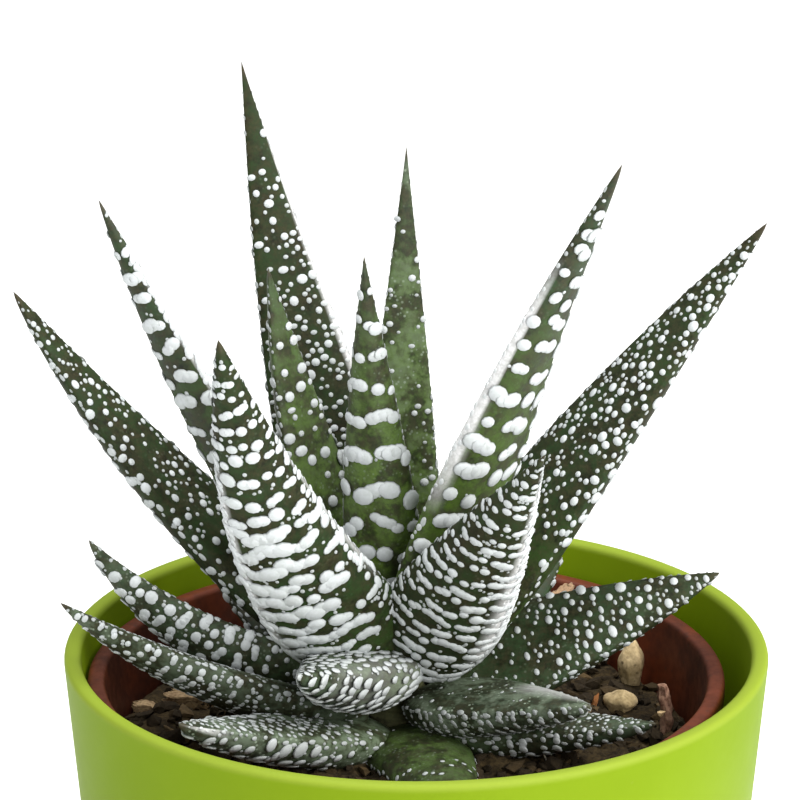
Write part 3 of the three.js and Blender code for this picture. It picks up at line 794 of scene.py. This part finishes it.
def outerBeads(leaf, rng):
    # rows of bars and single tubercles over the full outer face
    beads = []
    length, merge, shiftMost = leaf["length"], leaf["merge"], leafBuild["rowShift"]
    at = length * leafBuild["firstRow"]
    while at < length * (1 - leaf["bare"]):
        s = at / length
        share = float(swell(leaf, s))
        pitch = float(np.interp(s, (0, 0.5, 1), leaf["pitch"]))
        q, arc = arcOf(leaf, s)
        full = arc[-1]
        size = min(float(np.interp(s, (0, 0.5, 0.95), leaf["bar"])), 0.6 * full)
        nearTip = s > leaf["tipFrom"]
        t = rng.uniform(0.2, 0.8) * size + leaf["clear"] * share  # mm of skin from one margin
        phase = rng.uniform(0, 6.28)
        bow, tilt = leaf["bow"] * share, leaf["tilt"] * share
        while t < full - 0.3 * size:
            x = 2 * t / full - 1  # from -1 at one margin to 1 at the other
            calm = calmShare(leaf, s, x)
            thick = size * rng.uniform(0.82, 1.12) * calmSize(calm)
            if calm < 1 and rng.random() > calm:
                t += 2 * thick
                continue
            fused = merge * x > 0.3 and not nearTip
            if merge * x < -0.35:
                thick *= 0.8
            barLength = rng.uniform(0.0, 0.6) if nearTip else rng.uniform(*leaf["run"]) - 1
            if rng.random() < leafBuild["loneShare"]:
                barLength = 0
            steps = int(round(barLength / 0.5)) if barLength > 0.3 else 0
            shift = rng.uniform(-shiftMost, shiftMost) * leaf["uneven"] * pitch * (1.6 if nearTip else 1)
            lone = steps == 0
            for _ in range(steps + 1):
                if t > full - 0.25 * size:
                    break
                x = 2 * t / full - 1
                wave = 0.12 * pitch * math.sin(1.1 * t + phase) + bow * (1 - x * x) - tilt * x
                slope = 0.13 * pitch * math.cos(1.1 * t + phase) - (4 * bow * x + 2 * tilt) / full
                across = thick * rng.uniform(0.8, 1.14)
                longer = leaf["stretch"] * (rng.uniform(0.9, 1.25) if lone else 1)
                place = at + wave + shift + rng.uniform(-0.14, 0.14) * thick
                angle = float(np.interp(t, arc, q))
                beads.append(flatBead(place, angle, across * (1.1 if lone else 1.2), across * longer, slope))
                t += thick * 0.5
            if not fused:
                t += thick * (0.45 + rng.uniform(*leaf["gap"]))
        for _ in range(int(leaf["extra"] * full / leafBuild["extraEvery"] + rng.random())):
            small = min(size, 0.8) * rng.uniform(0.35, 0.6)
            place, angle = at + pitch * rng.uniform(0.38, 0.62), rng.uniform(math.pi, 2 * math.pi)
            beads.append(flatBead(place, angle, small, small * rng.uniform(0.9, 1.3)))
        at += pitch * rng.uniform(0.92, 1.08)
    return beads


def innerBeads(leaf, rng):
    # scattered round tubercles on the flatter inner face
    beads = []
    length, width, heavy = leaf["length"], leaf["width"], leaf["heavy"]
    wanted = int(leaf["dots"] * length * width * leafBuild["areaShare"])
    taken = np.zeros((wanted + 1, 3))
    for _ in range(wanted * 10):
        if len(beads) >= wanted:
            break
        s, x = rng.uniform(0.04, 1 - leaf["bare"]), rng.uniform(-0.95, 0.95)
        x = math.copysign(abs(x) ** leaf["spread"], x)
        share = float(swell(leaf, s))
        if rng.random() > share * (1 - leaf["thin"] * s):
            continue
        calm = calmShare(leaf, s, x)
        if calm < 1 and rng.random() > calm ** 2:
            continue
        small, large = leaf["dot"]
        size = small + (large - small) * rng.random() ** leafBuild["dotBias"]
        size *= (0.65 + 0.35 * share) * (1 + 0.7 * max(heavy * x - 0.25, 0)) * calmSize(calm)
        here = (s * length, x * width / 2 * share)
        near = np.hypot(taken[:len(beads), 0] - here[0], taken[:len(beads), 1] - here[1])
        if (near < leafBuild["dotSpace"] * (taken[:len(beads), 2] + size)).any():
            continue
        taken[len(beads)] = (*here, size)
        across, along = size * rng.uniform(0.95, 1.35), size * rng.uniform(0.85, 1.15) * leaf["stretch"]
        beads.append(flatBead(here[0], math.acos(x), across, along))
    return beads


def marginBeads(leaf, rng):
    # a toothed line of longer tubercles on both margins
    beads = []
    length = leaf["length"]
    for side, start, end, *_ in leaf["pale"]:
        if side not in leaf["chain"]:
            continue
        at = start * length
        while at < end * length:
            size = rng.uniform(0.8, 1.25) * (0.5 + 0.5 * float(swell(leaf, at / length)))
            angle = (0 if side > 0 else math.pi) - side * rng.uniform(0.0, 0.42)
            beads.append(flatBead(at, angle, size, size * rng.uniform(1, 1.8)))
            at += leafBuild["chainPitch"] if side == leaf["merge"] else rng.uniform(0.5, 1.6)
    for q in (0.0, math.pi):
        at = length * 0.08
        while at < length * (1 - leaf["bare"] * 0.5):
            share = 0.55 + 0.45 * float(swell(leaf, at / length))
            size = leafBuild["marginBead"] * rng.uniform(0.6, 1.3) * share
            beads.append(flatBead(at, q + rng.uniform(-0.15, 0.15), size, size * rng.uniform(1.3, 2.2)))
            at += leafBuild["marginPitch"] * rng.uniform(0.55, 1.4)
    return beads


def bandOf(leaf, s, q):
    # whitish bands beside a margin
    band = np.zeros_like(s)
    for side, start, end, width, strength in leaf["pale"]:
        fromEdge = 1 - side * np.cos(q)
        ends = np.clip(np.minimum((s - start) / 0.1, (end - s) / 0.1), 0, 1)
        band = np.maximum(band, strength * ends * np.clip((width * 1.4 - fromEdge) / (width * 0.8), 0, 1))
    return band


def makeLeafFinish(name, gloss):
    colours = leafColours
    material, tree, shader, place = newMaterial(name)
    skin = addNode(tree, "Attribute", attribute_name="leafMap")
    parts = addNode(tree, "SeparateColor")
    tree.links.new(skin.outputs["Color"], parts.inputs[0])
    tint, pale, white = parts.outputs[0], parts.outputs[1], parts.outputs[2]
    alongLeaf = skin.outputs["Alpha"]
    haze = addNode(tree, "Attribute", attribute_name="haze").outputs["Fac"]
    cloud = addMottle(tree, place, 1000.0, 3600.0, 0.5)
    slow = addMottle(tree, place, 360.0, 1500.0, 0.4)
    colour = mixColours(tree, cloud, colours["dark"], colours["olive"])
    green = calc(tree, "MULTIPLY", slow, ramp(tree, cloud, 0, 1, 0.95, 0.45))
    patchy = calc(tree, "MULTIPLY", ramp(tree, slow, 0.1, 0.75, 0.12, 1), ramp(tree, cloud, 0, 1, 1, 0.45))
    fresh = calc(tree, "MULTIPLY", calc(tree, "MAXIMUM", tint, 0.0), patchy)
    brown = calc(tree, "MULTIPLY", tint, -0.8, clamp=True)
    grain = addSpecks(tree, place, 1900.0, 0.3, 0.5, calc(tree, "MULTIPLY_ADD", haze, 0.7, 0.06))
    dusty = calc(tree, "MULTIPLY", haze, ramp(tree, slow, 0.2, 1, 0.02, 0.3))
    banded = calc(tree, "MULTIPLY", pale, ramp(tree, cloud, 0.1, 1, 1, 0.7))
    tip = ramp(tree, alongLeaf, 0.955, 0.99, 0, 0.7)
    layers = (
        (green, "green"), (fresh, "fresh"), (brown, "brown"), (grain, "shade"), (dusty, "shade"),
        (banded, "pale"), (tip, "dried"))
    for share, key in layers:
        colour = mixColours(tree, share, colour, colours[key])
    beadColour = mixColours(tree, calc(tree, "MULTIPLY", cloud, 0.25), colours["tubercle"], colours["shade"])
    colour = mixColours(tree, white, colour, beadColour)
    setSurface(tree, shader, colour, ramp(tree, cloud, 0, 1, 0.45, 0.62), gloss)
    addGrain(tree, shader, place, 2600.0, 0.25, 0.06)
    return material


leafSkin = makeLeafFinish("leafSkin", leafBuild["gloss"])
dullLeafSkin = makeLeafFinish("dullLeafSkin", leafBuild["dullGloss"])


def leafBody(leaf, line):
    selectOnly()
    bpy.ops.mesh.primitive_uv_sphere_add(segments=leafBuild["sides"], ring_count=leafBuild["rings"], radius=1)
    body = bpy.context.object
    places = vertexArray(body.data)
    s = 1 - np.arccos(np.clip(places[:, 2], -1, 1)) / math.pi
    q = np.arctan2(places[:, 1], places[:, 0])
    point = onLeaf(leaf, line, s, q)[0]
    poles = np.hypot(places[:, 0], places[:, 1]) < 1e-4
    point[poles] = np.stack([np.interp(s[poles], line[0], line[1][:, k]) for k in range(3)], -1)
    setVertices(body.data, point * mm)
    smoother = body.modifiers.new("smoother", "SUBSURF")
    smoother.levels = smoother.render_levels = 1
    applyModifiers(body)
    bpy.ops.object.shade_smooth()
    return body


def paintBody(leaf, line, body):
    # finds where each corner of the smoothed body lies on the leaf, and colours it by that
    skin = vertexArray(body.data) / mm
    steps, centre = line
    nearest = np.array([np.argmin(((centre - p) ** 2).sum(-1)) for p in skin])
    s = steps[nearest]
    _, across, inward = leafAxes(leaf, s)
    offset = skin - centre[nearest]
    depth = (offset * inward).sum(-1)
    share = np.where(depth > 0, leafBuild["innerDepth"], leafBuild["outerDepth"])
    q = np.arctan2(depth * leaf["width"] / 2, (offset * across).sum(-1) * leaf["thick"] * share)
    reach = np.clip((leaf["fresh"][1] - s) / leaf["fresh"][1], 0, 1) ** 0.6
    tint = leaf["fresh"][0] * reach - leaf["brown"]
    addColours(body.data, "leafMap", np.stack([tint, bandOf(leaf, s, q), np.zeros_like(s), s], -1))
    attribute = body.data.attributes.new("haze", "FLOAT", "POINT")
    attribute.data.foreach_set("value", np.full(len(s), leaf["haze"], np.float32))


def layBeads(leaf, line, body, rng):
    # the tubercles as one mesh, each set on the body, with its own whiteness
    beads = outerBeads(leaf, rng) + innerBeads(leaf, rng) + marginBeads(leaf, rng)
    surface = BVHTree.FromObject(body, bpy.context.evaluated_depsgraph_get())
    copies, whites = [], []
    alongs = np.array([min(max(row[0] / leaf["length"], 0.02), 0.995) for row in beads])
    angles = np.array([row[1] for row in beads])
    for s, (_, angle, acrossSize, alongSize, height, slope) in zip(alongs, beads):
        here, outward = onLeaf(leaf, line, np.array([s]), np.array([angle]))
        found = np.array(surface.find_nearest(Vector(here[0] * mm))[0])
        forward = leafAxes(leaf, np.array([s]))[0][0]
        side = np.cross(forward, outward[0])
        side = side / np.linalg.norm(side) + forward * slope
        side /= np.linalg.norm(side)
        ahead = np.cross(outward[0], side)
        turn = np.stack([side * acrossSize / 2, ahead * alongSize / 2, outward[0] * height], -1)
        copies.append((0, turn * mm, found))
        whites.append(rng.uniform(0.86, 1.0) * min(0.5 + 0.6 * min(acrossSize, alongSize), 1))
    piece = copiesMesh("beads", [bead], copies)
    top = np.clip(0.55 + 0.6 * bead[0][:, 2], 0.0, 1)
    beadMap = np.zeros((len(beads), len(top), 4))  # tint, band, white and place along, as on the body
    beadMap[:, :, 1] = bandOf(leaf, alongs, angles)[:, None]
    beadMap[:, :, 2] = np.array(whites)[:, None] * top
    beadMap[:, :, 3] = alongs[:, None]
    addColours(piece.data, "leafMap", beadMap)
    piece.data.shade_smooth()
    return piece, len(beads)


def makeLeaf(name, leaf):
    line = midline(leaf)
    body = leafBody(leaf, line)
    paintBody(leaf, line, body)
    beads, count = layBeads(leaf, line, body, random.Random(name))
    finish = dullLeafSkin if leaf["brown"] > 0 else leafSkin
    finishPiece(joinPieces([body, beads]), name.replace("leaf_", "tubercledLeaf_"), finish, name)
    return count


beadCount = 0
for leafName, leafSpec in leafShapes.items():
    beadCount += makeLeaf(leafName, {**leafUsual, **leafSpec})
print("leaves made:", len(leafShapes), "with", beadCount, "tubercles")


def makeBitFinish(name, dark, light, patch, streak=(1.0, 1.0, 1.0)):
    material, tree, shader, place = newMaterial(name)
    colour = mixColours(tree, addMottle(tree, place, patch, 2800.0, 0.45), dark, light)
    colour = mixColours(tree, addSpecks(tree, place, 1500.0, 0.3, 0.45, 0.7), colour, soil["brown"])
    setSurface(tree, shader, colour, 0.85, 0.25)
    addGrain(tree, shader, place, 1700.0, 0.5, 0.15, streak)
    return material


def roughen(places, steps):
    # how far slow noise moves each corner out or in: (amount, scale) pairs
    moves = sum(np.array([size * noise.noise(Vector(p) * scale) for p in places]) for size, scale in steps)
    return moves[:, None]


def layOnSoil(piece, places, spec, scale, lift):
    # corners turned, sized and set on the mound; lift is in times the piece's height
    x, y = spec["place"]
    turn = turnAndSize(spec["turn"], "Z", spec["size"]) * scale
    setVertices(piece.data, (places @ turn.T + (x, y, soilTop(x, y) + lift * spec["size"][2])) * mm)


# rings: radius and height, from the buried end up
caudex = dict(
    rings=[(1.2, 41), (1.9, 44.5), (2.6, 48), (3.4, 52), (3.1, 55), (2.8, 58), (2.6, 60.5), (1.6, 61.4)],
    sides=48, ridge=0.12, ridgePitch=1.1, light=(0.08, 0.085, 0.035), dark=(0.03, 0.03, 0.014))


def makeCaudex():
    spec = caudex
    radii, heights = zip(*spec["rings"])
    rings = []
    for height in np.linspace(heights[0], heights[-1], 64):
        ridge = spec["ridge"] * math.sin(2 * math.pi * height / spec["ridgePitch"])
        rings.append((float(np.interp(height, heights, radii)) + ridge, float(height)))
    piece = turnedPiece(rings, spec["sides"])
    movePiece(piece, (rosetteX, 0, 0))
    smoothPiece(piece)
    skin = makeBitFinish("caudexSkin", spec["dark"], spec["light"], 500.0)
    finishPiece(piece, "caudex", skin, "stem")


pebbles = {
    "tanPebble": dict(node="pebble_1", place=(20.8, 7.6), size=(1.8, 1.5, 1.3), turn=-30),
    "uprightPebble": dict(node="pebble_2", place=(22.2, 14.4), size=(1.3, 1.3, 2.9), turn=70),
}


def makePebble(name, spec, material):
    selectOnly()
    bpy.ops.mesh.primitive_ico_sphere_add(subdivisions=5, radius=1)
    piece = bpy.context.object
    places = vertexArray(piece.data)
    u, v, w = places.T
    uneven = 1 + 0.1 * np.sin(4 * u + 1) * np.cos(3 * v) + 0.06 * np.sin(5 * w)
    places = places * (uneven[:, None] + roughen(places + spec["turn"], [(0.08, 1.6), (0.03, 5), (0.012, 13)]))
    layOnSoil(piece, places, spec, 1, 0.6)
    smoothPiece(piece, 60)
    finishPiece(piece, name, material, spec["node"])


barkChips = {
    "barkSliver": dict(node="bark_1", place=(-27.2, 7.4), size=(1.6, 0.7, 0.6), turn=-45),
    "barkChip": dict(node="bark_2", place=(-23, 9.2), size=(2.4, 1.1, 0.7), turn=-35),
}


def makeBarkChip(name, spec, material):
    # a split chip: a cut block, arched, tapered and torn at its ends
    selectOnly()
    bpy.ops.mesh.primitive_cube_add(size=1)
    piece = bpy.context.object
    bpy.ops.object.mode_set(mode="EDIT")
    bpy.ops.mesh.select_all(action="SELECT")
    bpy.ops.mesh.subdivide(number_cuts=15)
    bpy.ops.object.mode_set(mode="OBJECT")
    u, v, w = vertexArray(piece.data).T
    taper = 1 - 0.5 * np.abs(u)
    places = np.stack([u, v * taper + 0.15 * np.sin(5 * u), w * taper + 0.1 * np.cos(6 * u + 3 * v)], -1)
    torn = roughen(np.stack([u * 0.5, v * 9, w * 7], -1) + spec["turn"], [(0.22, 1)])
    fibres = roughen(np.stack([u * 3, v * 14, w * 10], -1), [(0.12, 1)])
    places[:, :1] += torn * np.sign(u)[:, None] * (np.abs(u)[:, None] > 0.3)
    places[:, 1:] *= 1 + fibres
    layOnSoil(piece, places, spec, 2, 0.5)
    smoothPiece(piece, 35)
    finishPiece(piece, name, material, spec["node"])


rootBit = dict(place=(25.2, 1), radius=0.75, height=5.2, sunk=1, lean=0.6, rings=40, sides=20)


def makeRootBit():
    spec = rootBit
    x, y = spec["place"]
    full = spec["height"] + spec["sunk"]
    rings = [(spec["radius"] * (1 - 0.4 * share), full * share) for share in np.linspace(0, 1, spec["rings"])]
    piece = turnedPiece(rings, spec["sides"])
    places = vertexArray(piece.data) / mm
    up = places[:, 2:] / full
    places[:, :2] *= 1 + roughen(places * (2.2, 2.2, 0.5), [(0.5, 1), (0.35, 2.4)])
    places[:, :1] -= spec["lean"] * up ** 2
    places += (x, y, soilTop(x, y) - spec["sunk"])
    setVertices(piece.data, places * mm)
    smoothPiece(piece, 45)
    fibre = makeBitFinish("rootFibre", (0.12, 0.055, 0.035), (0.5, 0.3, 0.2), 600.0, (3.0, 3.0, 0.5))
    finishPiece(piece, "rootBit", fibre, "root_bit")


husk = dict(
    heading=56, rise=22, curl=10, length=15.5, width=5, thick=2.2, twist=35,
    reach=16, root=53.8, slim=0, bend=-20)


def makeHusk():
    body = leafBody(husk, midline(husk))
    places = vertexArray(body.data) / mm
    places += roughen(places, [(1.0, 0.8), (0.6, 2), (0.3, 5)]) * (0.35, 0.35, 0.8)
    setVertices(body.data, places * mm)
    smoothPiece(body, 50)
    skin = makeBitFinish("driedHusk", (0.03, 0.016, 0.01), (0.34, 0.22, 0.13), 240.0, (1.0, 1.0, 3.0))
    finishPiece(body, "driedHusk", skin, "husk")


makeCaudex()
pebbleStone = makeBitFinish("pebbleStone", (0.3, 0.22, 0.1), (0.6, 0.46, 0.26), 420.0)
for pebbleName, pebbleSpec in pebbles.items():
    makePebble(pebbleName, pebbleSpec, pebbleStone)
splitBark = makeBitFinish("splitBark", (0.16, 0.1, 0.05), (0.5, 0.36, 0.2), 300.0, (0.6, 3.0, 3.0))
for chipName, chipSpec in barkChips.items():
    makeBarkChip(chipName, chipSpec, splitBark)
makeRootBit()
makeHusk()
print("stem, husk and loose bits made")


def makeFloor():
    selectOnly()
    bpy.ops.mesh.primitive_plane_add(size=studio["floorSize"], location=(0, 0, 0))
    floor = bpy.context.object
    floor.name = "studioFloor"
    material, tree, shader, _ = newMaterial("paleFloor")
    setSurface(tree, shader, (studio["floorGrey"],) * 3, 0.7, 0.5)
    floor.data.materials.append(material)


makeFloor()
